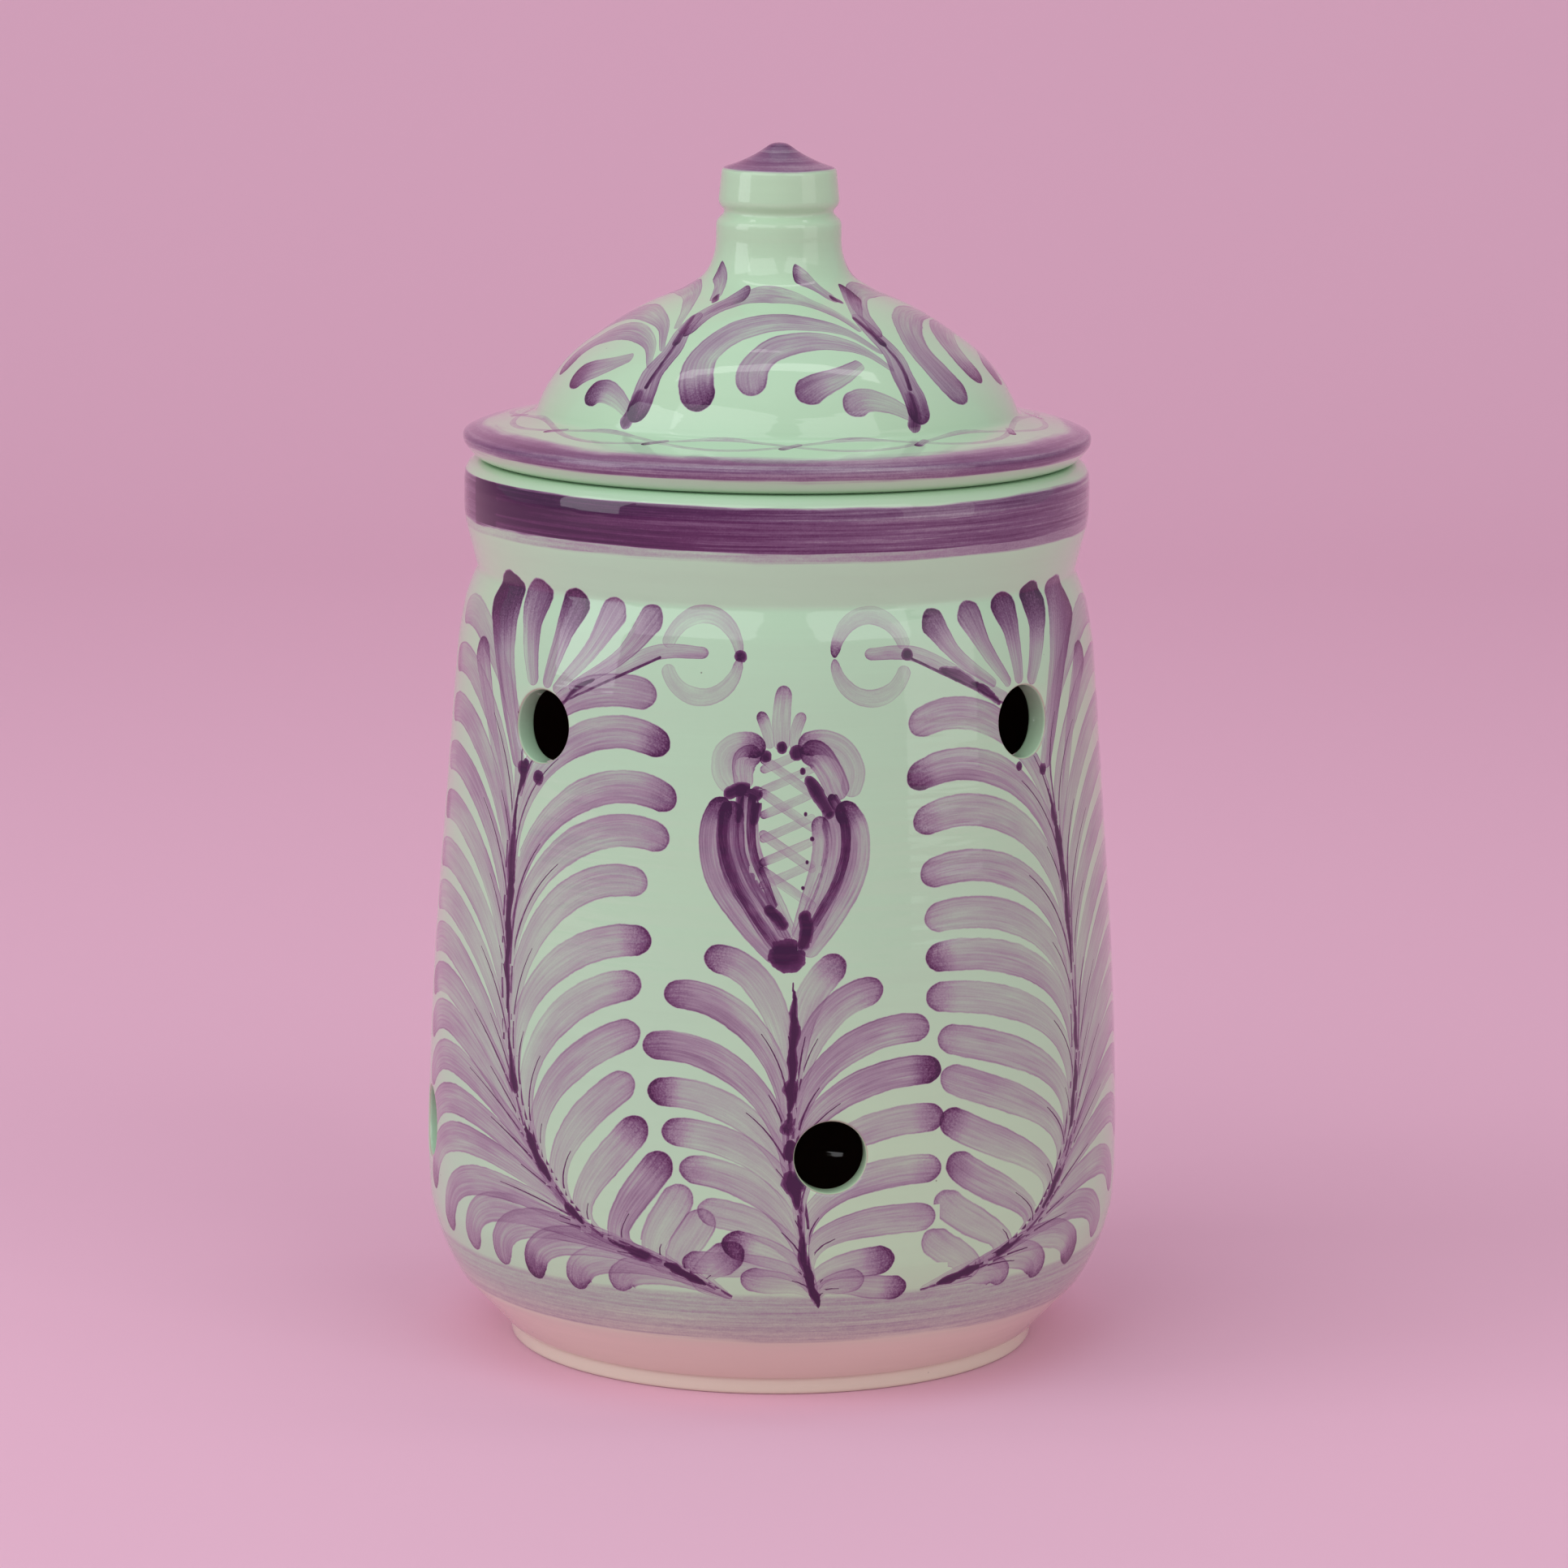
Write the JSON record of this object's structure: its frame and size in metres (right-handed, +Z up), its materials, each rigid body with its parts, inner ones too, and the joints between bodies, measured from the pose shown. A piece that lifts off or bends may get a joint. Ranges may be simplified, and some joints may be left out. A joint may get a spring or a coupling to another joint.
{
  "type": "garlic keeper",
  "caption": "Tall round glazed pottery keeper with pierced vent holes, a banded collar and a domed knob lid that drops into its mouth.",
  "frame": {"origin": "centre of the foot ring, on the surface that the keeper stands on", "axes": "+Z up along the axis of the jar and lid, -Y towards the viewer of the painted front, +X to that viewer's right"},
  "size_m": [0.1412, 0.1412, 0.2436],
  "materials": {
    "jar_glaze": "glossy pale mint glaze with plum brushwork, bare clay foot",
    "lid_glaze": "glossy pale mint glaze with plum brushwork and a plum knob top"
  },
  "bodies": {
    "jar": {"jar": "jar_glaze"},
    "lid": {"lid": "lid_glaze"}
  },
  "joints": [
    {"name": "lid_lift", "type": "slide", "parent": "jar", "child": "lid", "axis": [0, 0, 1], "range_m": [0, 0.08]}
  ]
}
